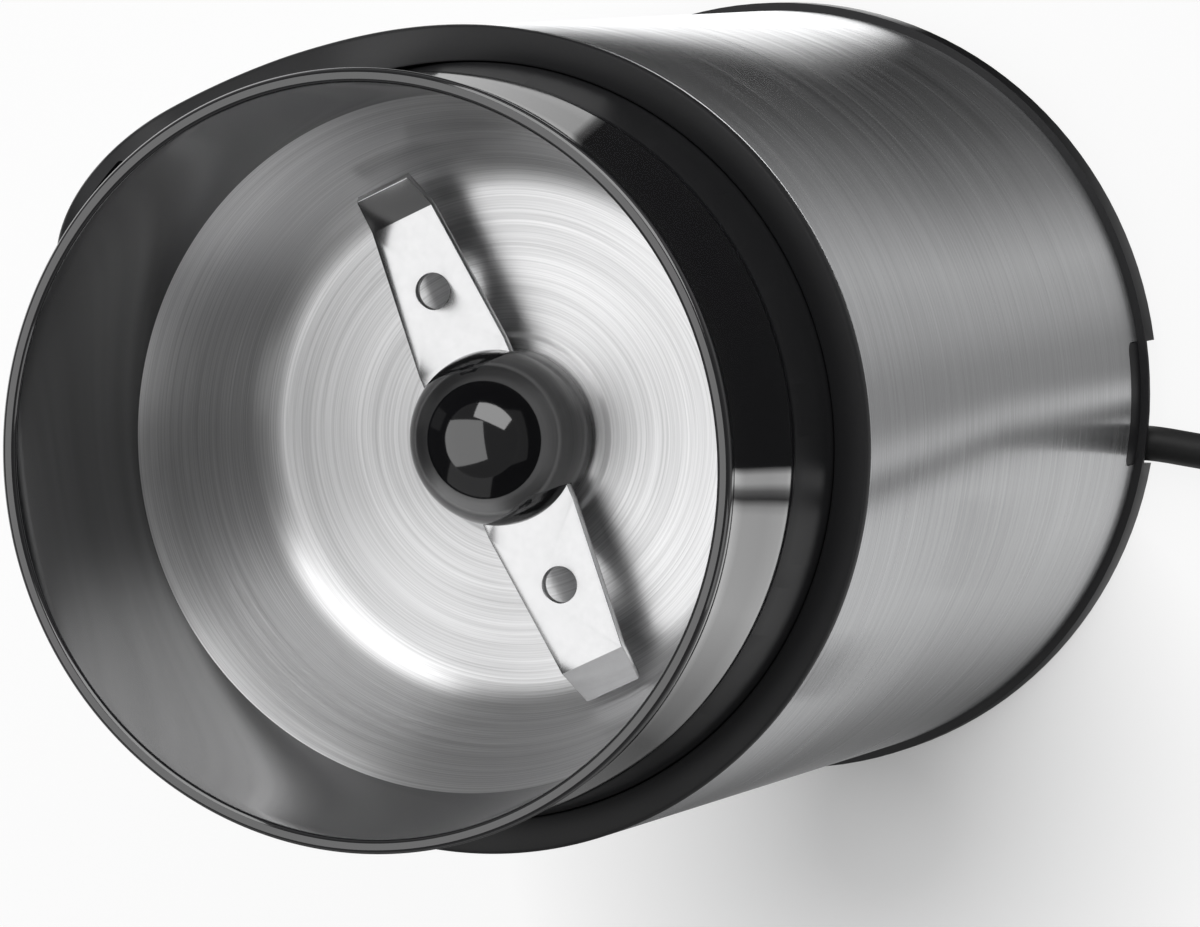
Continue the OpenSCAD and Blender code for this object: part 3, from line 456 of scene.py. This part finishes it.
switch_plastic = finish("switch_plastic", (0.03, 0.03, 0.03), 0, 0.4, "skin", 0.05, 0.005, 0.06)
button_red = finish("button_red", (0.5, 0.03, 0.02), 0, 0.35, "skin", 0.05, 0.004, 0.05)
block_plastic = finish("block_plastic", (0.7, 0.67, 0.58), 0, 0.4, "skin", 0.05, 0.004, 0.05)
lead_insulation = finish("lead_insulation", (0.2, 0.08, 0.04), 0, 0.4, "skin", 0.05, 0.006, 0.08)
pin_metal = finish("pin_metal", (0.7, 0.69, 0.67), 1, 0.2, "skin", 0.05, 0.002, 0.03)
print("finishes", len(bpy.data.materials))

# %% Every solid of the frame gets the finish of its slot
finishes = {m.name: m for m in bpy.data.materials}
slots = {part["node"]: part["material_slot"] for part in frame["record"]["subparts"]}
for node, slot in slots.items():
    solid = nodes[node]
    if not solid.material_slots:
        solid.data.materials.append(None)
    solid.material_slots[0].material = finishes[slot]
mains_lead.data.materials.append(black_rubber)

# %% [markdown]
# ## The steel sleeve
# The body is a rolled sheet of steel, brushed round its girth, with a notch over the cord. A
# cylinder with Solidify would give its wall, but turning its outline gives the two thin rolled
# edges as well. The notch is cut with a block whose corners are rounded, as a press tool leaves
# them.

# %% Sleeve
sleeve = turned("sleeve", [(46.9, 5.9), (47.0, 5.8), (47.4, 5.8), (47.5, 5.9), (47.5, 12),
                           (47.5, 60), (47.5, 108.85), (47.44, 108.97), (47.35, 109.0),
                           (47.0, 109.0), (46.9, 108.9), (46.9, 60), (46.9, 12)], 320)
carved(sleeve, block("notch_tool", (45.9, -7.7, 3.8), (48.5, 7.7, 9.9), CORD_WAY, 1.3, 0))
soft_shading(sleeve)
stands_for(sleeve, "housing", "sleeve_steel", sleeve_steel, "steel_sleeve")

# %% [markdown]
# ## The shoulder and the switch guard
# One moulding closes the top of the sleeve and rises at the front into a guard, shaped like a bell
# seen from the front. The guard could be a second piece joined on, but then the blend at its foot
# needs its own patch. Here the ring is turned once, and the points on its top are lifted by the
# bell's height, so that the blend is part of the ring.

# %% The bell's height over the shoulder, by the distance from its middle
# A round crown, a straight flank and a hollow foot, each touching the next. All numbers are in mm.
CROWN_R, CROWN_TO, FLANK_TO, FOOT_R, FOOT_TO = 15, 11.1, 23.05, 20, 37.85
FLANK_SLOPE = 1.1


def bell(x):
    x = abs(x)
    if x < CROWN_TO:
        return 9.6 + math.sqrt(CROWN_R ** 2 - x ** 2)
    if x < FLANK_TO:
        return 19.7 - (x - CROWN_TO) * FLANK_SLOPE
    return FOOT_R - math.sqrt(FOOT_R ** 2 - (FOOT_TO - x) ** 2) if x < FOOT_TO else 0


def eased(t):
    t = min(1, max(0, t))
    return t * t * (3 - 2 * t)


print("bell at 0, 9, 19, 26 mm:", [round(bell(x), 1) for x in (0, 9, 19, 26)])

# %% Shoulder ring, lifted into the guard
shoulder = turned("shoulder", [(45.0, 100.5), (46.8, 100.5), (46.8, 109.3), (47.35, 109.3),
                               (47.5, 109.45), (47.5, 110.0), (47.42, 110.25), (47.25, 110.43),
                               (47.0, 110.5), (43.8, 110.5), (43.6, 110.42), (43.5, 110.2),
                               (43.5, 107.5), (45.0, 107.5)], 720)
RING_R, OUTER_WALL, OUTER_FOOT, TOP_EDGE = 47.5, 46.9, 109.4, 109.9
GUARD_PROUD, PROUD_FROM, PROUD_OVER = 0.8, 44, 24
for v in shoulder.data.vertices:
    r = math.hypot(v.co.x, v.co.y)
    if v.co.y < 0 and v.co.z > OUTER_FOOT * MM:
        lift = bell(v.co.x / MM)
        if r > OUTER_WALL * MM:
            grow = 1 + GUARD_PROUD * eased((PROUD_FROM - abs(v.co.x) / MM) / PROUD_OVER) / RING_R
            v.co.x, v.co.y = v.co.x * grow, v.co.y * grow
        if v.co.z > TOP_EDGE * MM:
            v.co.z += lift * MM
carved(shoulder, block("slot_tool", (-4.3, -46.6, 99), (4.3, -44.2, 140), 0, 0.6, 2))
soft_shading(shoulder)
stands_for(shoulder, "housing", "black_satin", black_satin, "shoulder_ring")

# %% [markdown]
# ## The cup's riser, the collar and the bowl
# Inside the shoulder a matt cone carries the cup: a glossy collar that flares to a rounded lip, and
# under it a spun steel bowl. The collar and the bowl are turned, and the cone is a softened copy of
# the frame's solid. The collar's lip needs many points, because a thin rounded lip is where gloss
# shows first. The bowl's floor meets its wall in one clean curve, which gives the bright ring.

# %% Riser
riser = softened("riser", "cup_housing", 0.12)
stands_for(riser, "housing", "black_satin", black_satin, "cup_housing")


# %% Collar
def arc(centre_r, centre_z, radius, start, stop, steps):
    turn = [math.radians(start + (stop - start) * i / steps) for i in range(steps + 1)]
    return [(centre_r + radius * math.cos(a), centre_z + radius * math.sin(a)) for a in turn]


collar = turned("collar", [(39.9, 115.5), (40.7, 115.5), (40.7, 118.4), (41.2, 118.4),
                           (41.75, 118.75), (42.2, 119.6), (42.5, 121), (42.7, 124), (42.8, 130),
                           (42.9, 138), (43.1, 141.5), (43.45, 143.3)]
                + arc(42.95, 144.15, 0.65, 0, 90, 7) + arc(42.55, 144.15, 0.65, 90, 180, 7)
                + [(41.75, 142), (41.1, 132.6), (40.4, 122.6)], 320)
soft_shading(collar)
stands_for(collar, "housing", "black_gloss", black_gloss, "cup_collar")

# %% Bowl
bowl = turned("bowl", [(5.0, 98.2), (11.1, 98.2), (11.45, 98.12), (11.8, 97.85), (12.1, 97.8),
                       (20, 97.8)] + arc(27.5, 103.8, 6, -90, -26.06, 16)
              + [(36.4, 108.3), (39.8, 115.3), (40.0, 115.5), (40.7, 115.5), (40.7, 114.9),
                 (40.15, 114.9)] + arc(27.5, 103.8, 6.6, -26.06, -90, 12) + [(5.0, 97.2)], 256)
soft_shading(bowl)
stands_for(bowl, "housing", "bowl_steel", bowl_steel, "grinding_bowl")

# %% [markdown]
# ## The blade and its hub
# The blade is a flat bar of polished steel with two holes. One tip is folded up and the other down.
# It could be bent from a straight bar, but a bend smears the corners, so its side view is drawn
# with both folds and pulled across the width. The hub is a glossy dome pressed over the blade,
# turned with many points, because gloss shows every flat.

# %% Blade: its side view as a flat face, pulled across its width, then cut to its plan
BLADE_TURN, BLADE_Z = 244.2, 103.2
MIDDLE_END, MIDDLE_HALF, ARM_HALF, TIP_HALF = 10.2, 5.8, 4.1, 3.5
fold, tip_x, tip_z, skin = 27.8, 31.7, 2.25, 0.6
side = [(fold + 0.16, -skin), (tip_x + 0.3, tip_z - 0.52), (tip_x - 0.3, tip_z + 0.52),
        (fold - 0.16, skin)]
side += [(-px, -pz) for px, pz in side]
nothing_selected()
bpy.ops.mesh.primitive_circle_add(vertices=8, radius=0.01, fill_type="NGON")
blade = bpy.context.object
blade.name = blade.data.name = "blade_bar"
for v, (px, pz) in zip(blade.data.vertices, side):
    v.co = Vector((px, -MIDDLE_HALF, pz)) * MM
bpy.ops.object.mode_set(mode="EDIT")
bpy.ops.mesh.select_all(action="SELECT")
bpy.ops.mesh.extrude_region_move(TRANSFORM_OT_translate={"value": (0, 2 * MIDDLE_HALF * MM, 0)})
for cut_x in (-MIDDLE_END, MIDDLE_END):
    bpy.ops.mesh.select_all(action="SELECT")
    bpy.ops.mesh.bisect(plane_co=(cut_x * MM, 0, 0), plane_no=(1, 0, 0))
bpy.ops.mesh.select_all(action="SELECT")
bpy.ops.mesh.normals_make_consistent(inside=False)
bpy.ops.object.mode_set(mode="OBJECT")
for v in blade.data.vertices:
    away = abs(v.co.x) / MM
    half = MIDDLE_HALF if away < MIDDLE_END + 0.1 else ARM_HALF if away < fold + 0.7 else TIP_HALF
    v.co.y = math.copysign(half * MM, v.co.y)
for hole_x, hole_r in ((-18.5, 2.1), (18.5, 2.1), (0, 3.05)):
    nothing_selected()
    bpy.ops.mesh.primitive_cylinder_add(vertices=64, radius=hole_r * MM, depth=0.01,
                                        location=(hole_x * MM, 0, 0))
    carved(blade, bpy.context.object)
only(blade)
ground_edge = blade.modifiers.new("ground_edge", "BEVEL")
ground_edge.width, ground_edge.segments, ground_edge.limit_method = 0.1 * MM, 2, "ANGLE"
ground_edge.angle_limit = math.radians(50)
bpy.ops.object.modifier_apply(modifier=ground_edge.name)
blade.rotation_euler.z, blade.location.z = math.radians(BLADE_TURN), BLADE_Z * MM
bpy.ops.object.transform_apply(location=True, rotation=True, scale=True)
soft_shading(blade, 25)
stands_for(blade, "rotor", "blade_steel", blade_steel, "blade")

# %% Hub
dome = turned("hub_dome", [(3.05, 108.3), (3.05, 99.2), (9.9, 99.2), (10.2, 99.5), (10.2, BLADE_Z)]
              + arc(0, BLADE_Z, 10.2, 4, 84, 24), 160, "capped")
only(dome)
bpy.ops.object.mode_set(mode="EDIT")
bpy.ops.mesh.select_all(action="DESELECT")
bpy.ops.mesh.select_non_manifold(extend=False, use_wire=False, use_multi_face=False,
                                 use_non_contiguous=False, use_verts=False)
bpy.ops.mesh.extrude_region_move(TRANSFORM_OT_translate={"value": (0, 0, 0.05 * MM)})
bpy.ops.mesh.merge(type="CENTER")
bpy.ops.mesh.select_all(action="SELECT")
bpy.ops.mesh.normals_make_consistent(inside=False)
bpy.ops.object.mode_set(mode="OBJECT")
carved(dome, block("blade_way", (-11.2, -5.9, 102.55), (11.2, 5.9, 103.85), BLADE_TURN))
soft_shading(dome)
stands_for(dome, "rotor", "black_gloss", black_gloss, "hub_cap")

# %% [markdown]
# ## Base, feet and plug
# These are mouldings with many small features, which the frame's solids already hold. Softening a
# copy of each is quicker than modelling them again, and keeps the vents, the cord's channel and the
# screw pockets true.

# %% Softened mouldings
for name, node, slot, width, segments, look in (
        ("base", "base_cover", "black_satin", 0.3, 3, black_satin),
        ("feet", "rubber_feet", "black_rubber", 0.5, 3, black_rubber),
        ("relief", "strain_relief", "black_rubber", 0.15, 2, black_rubber),
        ("plug", "plug_body", "black_rubber", 1.8, 5, black_rubber),
        ("pins", "plug_pins", "pin_metal", 0.8, 4, pin_metal),
        ("plunger", "switch_plunger", "black_satin", 0.25, 3, black_satin)):
    piece = softened(name, node, width, segments)
    body = "plunger" if node == "switch_plunger" else "housing"
    stands_for(piece, body, slot, look, node)

# %% The plunger's spring, fixed to the housing, with a mesh of its own
spring_slot = slots["plunger_spring"]
spring = softened("spring", "plunger_spring", 0.03, 1, 60)
spring_foot, spring_head = (end(v.co.z for v in spring.data.vertices) for end in (min, max))
stands_for(spring, "housing", spring_slot, finishes[spring_slot], "plunger_spring")
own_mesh(spring)
print("spring from", round(spring_foot / MM, 2), "to", round(spring_head / MM, 2), "mm")

# %% [markdown]
# ## Floor, light and background
# Product pictures of this kind are lit by large soft lamps on a white floor. The floor is seen
# straight on here, so it fills the background. Its whiteness in the picture comes from its colour
# and from Light Path, never from more light on the grinder, and it keeps the grinder's soft shadow.
# Round that shadow it glows less, so the grey pool there is partly real shadow and partly painted
# shadow.

# %% A white floor that keeps the shadow, with a painted shadow pool round it
PICTURE_RIGHT = 129  # the plan direction of the picture's right
# The centre of the painted shadow pool, where the grinder's shadow falls.
painted_shadow_spot = (outward(PICTURE_RIGHT) * 12 - outward(PICTURE_RIGHT + 90) * 56) * MM
nothing_selected()
bpy.ops.mesh.primitive_plane_add(size=2.4, location=(0, 0, -0.0002))
floor = bpy.context.object
floor.name = "floor"
paper = bpy.data.materials.new("studio_paper")
paper.use_nodes = True
tree = paper.node_tree
sheet = tree.nodes["Principled BSDF"]
sheet.inputs["Base Color"].default_value = (0.93, 0.93, 0.93, 1)
sheet.inputs["Roughness"].default_value = 0.9
sheet.inputs["Specular IOR Level"].default_value = 0
path = tree.nodes.new("ShaderNodeLightPath")
seen = maths(tree, "MAXIMUM", maths(tree, "MAXIMUM", path.outputs["Is Camera Ray"],
                                    path.outputs["Is Glossy Ray"]),
             path.outputs["Is Transmission Ray"])
glow = tree.nodes.new("ShaderNodeEmission")
mix = tree.nodes.new("ShaderNodeMixShader")
# Near the grinder's shadow the paper glows less, so that the shadow shows. Less glow also makes
# the paper greyer there, so the pool round that spot is partly painted shadow.
place = tree.nodes.new("ShaderNodeTexCoord")
centre = tree.nodes.new("ShaderNodeMapping")
centre.inputs["Location"].default_value = tuple(-painted_shadow_spot)
far = tree.nodes.new("ShaderNodeVectorMath")
far.operation = "LENGTH"
# The glow's share rises from 0.1 at the spot to 0.88 further off. This dip is painted shadow.
glow_share_painted_shadow = tree.nodes.new("ShaderNodeMapRange")
glow_share_painted_shadow.inputs["From Min"].default_value, glow_share_painted_shadow.inputs["From Max"].default_value = 8 * MM, 52 * MM
glow_share_painted_shadow.inputs["To Min"].default_value, glow_share_painted_shadow.inputs["To Max"].default_value = 0.1, 0.88
tree.links.new(place.outputs["Object"], centre.inputs[0])
tree.links.new(centre.outputs[0], far.inputs[0])
tree.links.new(far.outputs["Value"], glow_share_painted_shadow.inputs["Value"])
tree.links.new(maths(tree, "MULTIPLY", seen, glow_share_painted_shadow.outputs[0]), mix.inputs[0])
tree.links.new(sheet.outputs[0], mix.inputs[1])
tree.links.new(glow.outputs[0], mix.inputs[2])
# Seen from below the paper is clear, so that the underside of the grinder can be looked at.
facing = tree.nodes.new("ShaderNodeNewGeometry")
clear = tree.nodes.new("ShaderNodeBsdfTransparent")
one_sided = tree.nodes.new("ShaderNodeMixShader")
tree.links.new(facing.outputs["Backfacing"], one_sided.inputs[0])
tree.links.new(mix.outputs[0], one_sided.inputs[1])
tree.links.new(clear.outputs[0], one_sided.inputs[2])
tree.links.new(one_sided.outputs[0], tree.nodes["Material Output"].inputs[0])
floor.data.materials.append(paper)

# %% [markdown]
# Brushed steel and gloss show bands of what stands round them. In a studio these are graded cards.
# Two cards lie flat round the grinder and are seen only as reflections, and only from above. The
# low one makes the bands of the sleeve, and a ring just over the shoulder makes those of the
# collar. Their brightness changes with the plan direction, counted in degrees from the camera's
# side. A ray that leaves the sleeve sideways lands further round the farther it flies, so the low
# card counts back from where it lands to where it left. It rises a little outwards, to pass over
# the coiled lead.

# %% A graded card, seen only as a reflection
CAMERA_WAY = 141  # the plan direction towards the camera


def graded_card(card, name, stops, left_at=0.0):
    """stops are pairs of direction and brightness. left_at is the radius that the rays left."""
    card.name = card.data.name = name
    for ray in ("camera", "diffuse", "transmission", "volume_scatter", "shadow"):
        setattr(card, "visible_" + ray, False)
    graded = bpy.data.materials.new(name)
    graded.use_nodes = True
    tree = graded.node_tree
    tree.nodes.remove(tree.nodes["Principled BSDF"])
    place = tree.nodes.new("ShaderNodeTexCoord")
    turn = tree.nodes.new("ShaderNodeMapping")
    turn.inputs["Rotation"].default_value[2] = math.radians(-CAMERA_WAY)
    apart = tree.nodes.new("ShaderNodeSeparateXYZ")
    reach = tree.nodes.new("ShaderNodeVectorMath")
    reach.operation = "LENGTH"
    shades = tree.nodes.new("ShaderNodeValToRGB")
    shine = tree.nodes.new("ShaderNodeEmission")
    side = tree.nodes.new("ShaderNodeNewGeometry")
    clear = tree.nodes.new("ShaderNodeBsdfTransparent")
    mix = tree.nodes.new("ShaderNodeMixShader")
    tree.links.new(place.outputs["Object"], turn.inputs[0])
    tree.links.new(turn.outputs[0], apart.inputs[0])
    tree.links.new(turn.outputs[0], reach.inputs[0])
    way = maths(tree, "ARCTAN2", apart.outputs[1], apart.outputs[0])
    if left_at:
        twice = maths(tree, "SUBTRACT", maths(tree, "MULTIPLY", reach.outputs["Value"], 2), left_at)
        way = maths(tree, "MULTIPLY", way, maths(tree, "DIVIDE", reach.outputs["Value"], twice))
    tree.links.new(maths(tree, "ADD", maths(tree, "DIVIDE", way, 2 * math.pi), 0.5),
                   shades.inputs[0])
    tree.links.new(shades.outputs[0], shine.inputs["Color"])
    tree.links.new(side.outputs["Backfacing"], mix.inputs[0])
    tree.links.new(shine.outputs[0], mix.inputs[1])
    tree.links.new(clear.outputs[0], mix.inputs[2])
    tree.links.new(mix.outputs[0], tree.nodes["Material Output"].inputs[0])
    stop_list = shades.color_ramp.elements
    stop_list[0].color = stop_list[1].color = (*[stops[0][1]] * 3, 1)
    for angle, shade in stops[1:-1]:
        stop_list.new((angle + 180) / 360).color = (*[shade] * 3, 1)
    card.data.materials.clear()
    card.data.materials.append(graded)
    print(name, "with", len(stop_list), "stops, facing", round(card.data.polygons[0].normal.z, 2))


def open_ring(outline):
    ring = turned("card", outline, 96, "open")
    if ring.data.polygons[0].normal.z < 0:
        only(ring)
        bpy.ops.object.mode_set(mode="EDIT")
        bpy.ops.mesh.select_all(action="SELECT")
        bpy.ops.mesh.flip_normals()
        bpy.ops.object.mode_set(mode="OBJECT")
    return ring


graded_card(open_ring([(47.7, 0.4), (84, 11.5), (700, 11.5)]), "sleeve_card", (
    (-180, 0.6), (-90, 0.5), (-78, 0.2), (-66, 0.12), (-54.8, 0.22), (-43.7, 0.5), (-30, 0.64),
    (-20.6, 0.62), (-16, 0.62), (-14.5, 0.12), (-13, 0.12), (-11.5, 0.62), (-9.5, 0.5), (-8, 0.28),
    (-2.5, 0.3), (3, 0.42), (10.6, 0.5), (22.4, 0.2), (33.4, 0.06), (45.7, 0.01), (55, 0.01),
    (58, 0.9), (62, 2), (85, 1.6), (110, 0.7), (180, 0.6)), RING_R * MM)
graded_card(open_ring([(44, 111.5), (70, 111.5)]), "collar_card", (
    (-180, 0.5), (-112, 0.2), (-68, 0.15), (-56, 0.45), (-40, 1.05), (-21.5, 1.15), (-20, 0.1),
    (-18.6, 0.1), (-17.2, 1.15), (-15.4, 1.15), (-14.2, 0.02), (54.5, 0.02), (56, 0.7), (95, 0.6),
    (180, 0.5)))

# %% A dim room, dark overhead
world = bpy.data.worlds.new("studio")
bpy.context.scene.world = world
world.use_nodes = True
tree = world.node_tree
sky = tree.nodes["Background"]
where = tree.nodes.new("ShaderNodeTexCoord")
height = tree.nodes.new("ShaderNodeSeparateXYZ")
fade = tree.nodes.new("ShaderNodeValToRGB")
tree.links.new(where.outputs["Generated"], height.inputs[0])
tree.links.new(height.outputs[2], fade.inputs[0])
low, high = fade.color_ramp.elements
low.color, low.position = (0.34, 0.34, 0.34, 1), 0.05
high.color, high.position = (0.15, 0.15, 0.15, 1), 0.7
tree.links.new(fade.outputs[0], sky.inputs["Color"])
sky.inputs["Strength"].default_value = 1

# %% Lamps, placed in metres towards the camera's side, a quarter turn on from it, and up
def soft_lamp(name, near, aside, high, size, radiance):
    place = outward(CAMERA_WAY) * near + outward(CAMERA_WAY + 90) * aside + Vector((0, 0, high))
    bpy.ops.object.light_add(type="AREA", location=place)
    lamp = bpy.context.object
    lamp.name = name
    lamp.data.shape = "RECTANGLE"
    lamp.data.size, lamp.data.size_y = size
    lamp.data.energy = radiance * math.pi * size[0] * size[1]
    lamp.rotation_euler = (Vector((0, 0, 0.1)) - place).to_track_quat("-Z", "Y").to_euler()


soft_lamp("bowl_lamp", -0.42, 0.03, 1.08, (1.1, 1.1), 1.45)
soft_lamp("key_lamp", 0.50, 0.80, 0.95, (1.1, 1.1), 2.9)
soft_lamp("side_lamp", 0.9, -0.6, 0.5, (0.4, 0.8), 1)
bpy.context.scene.view_settings.view_transform = "Standard"
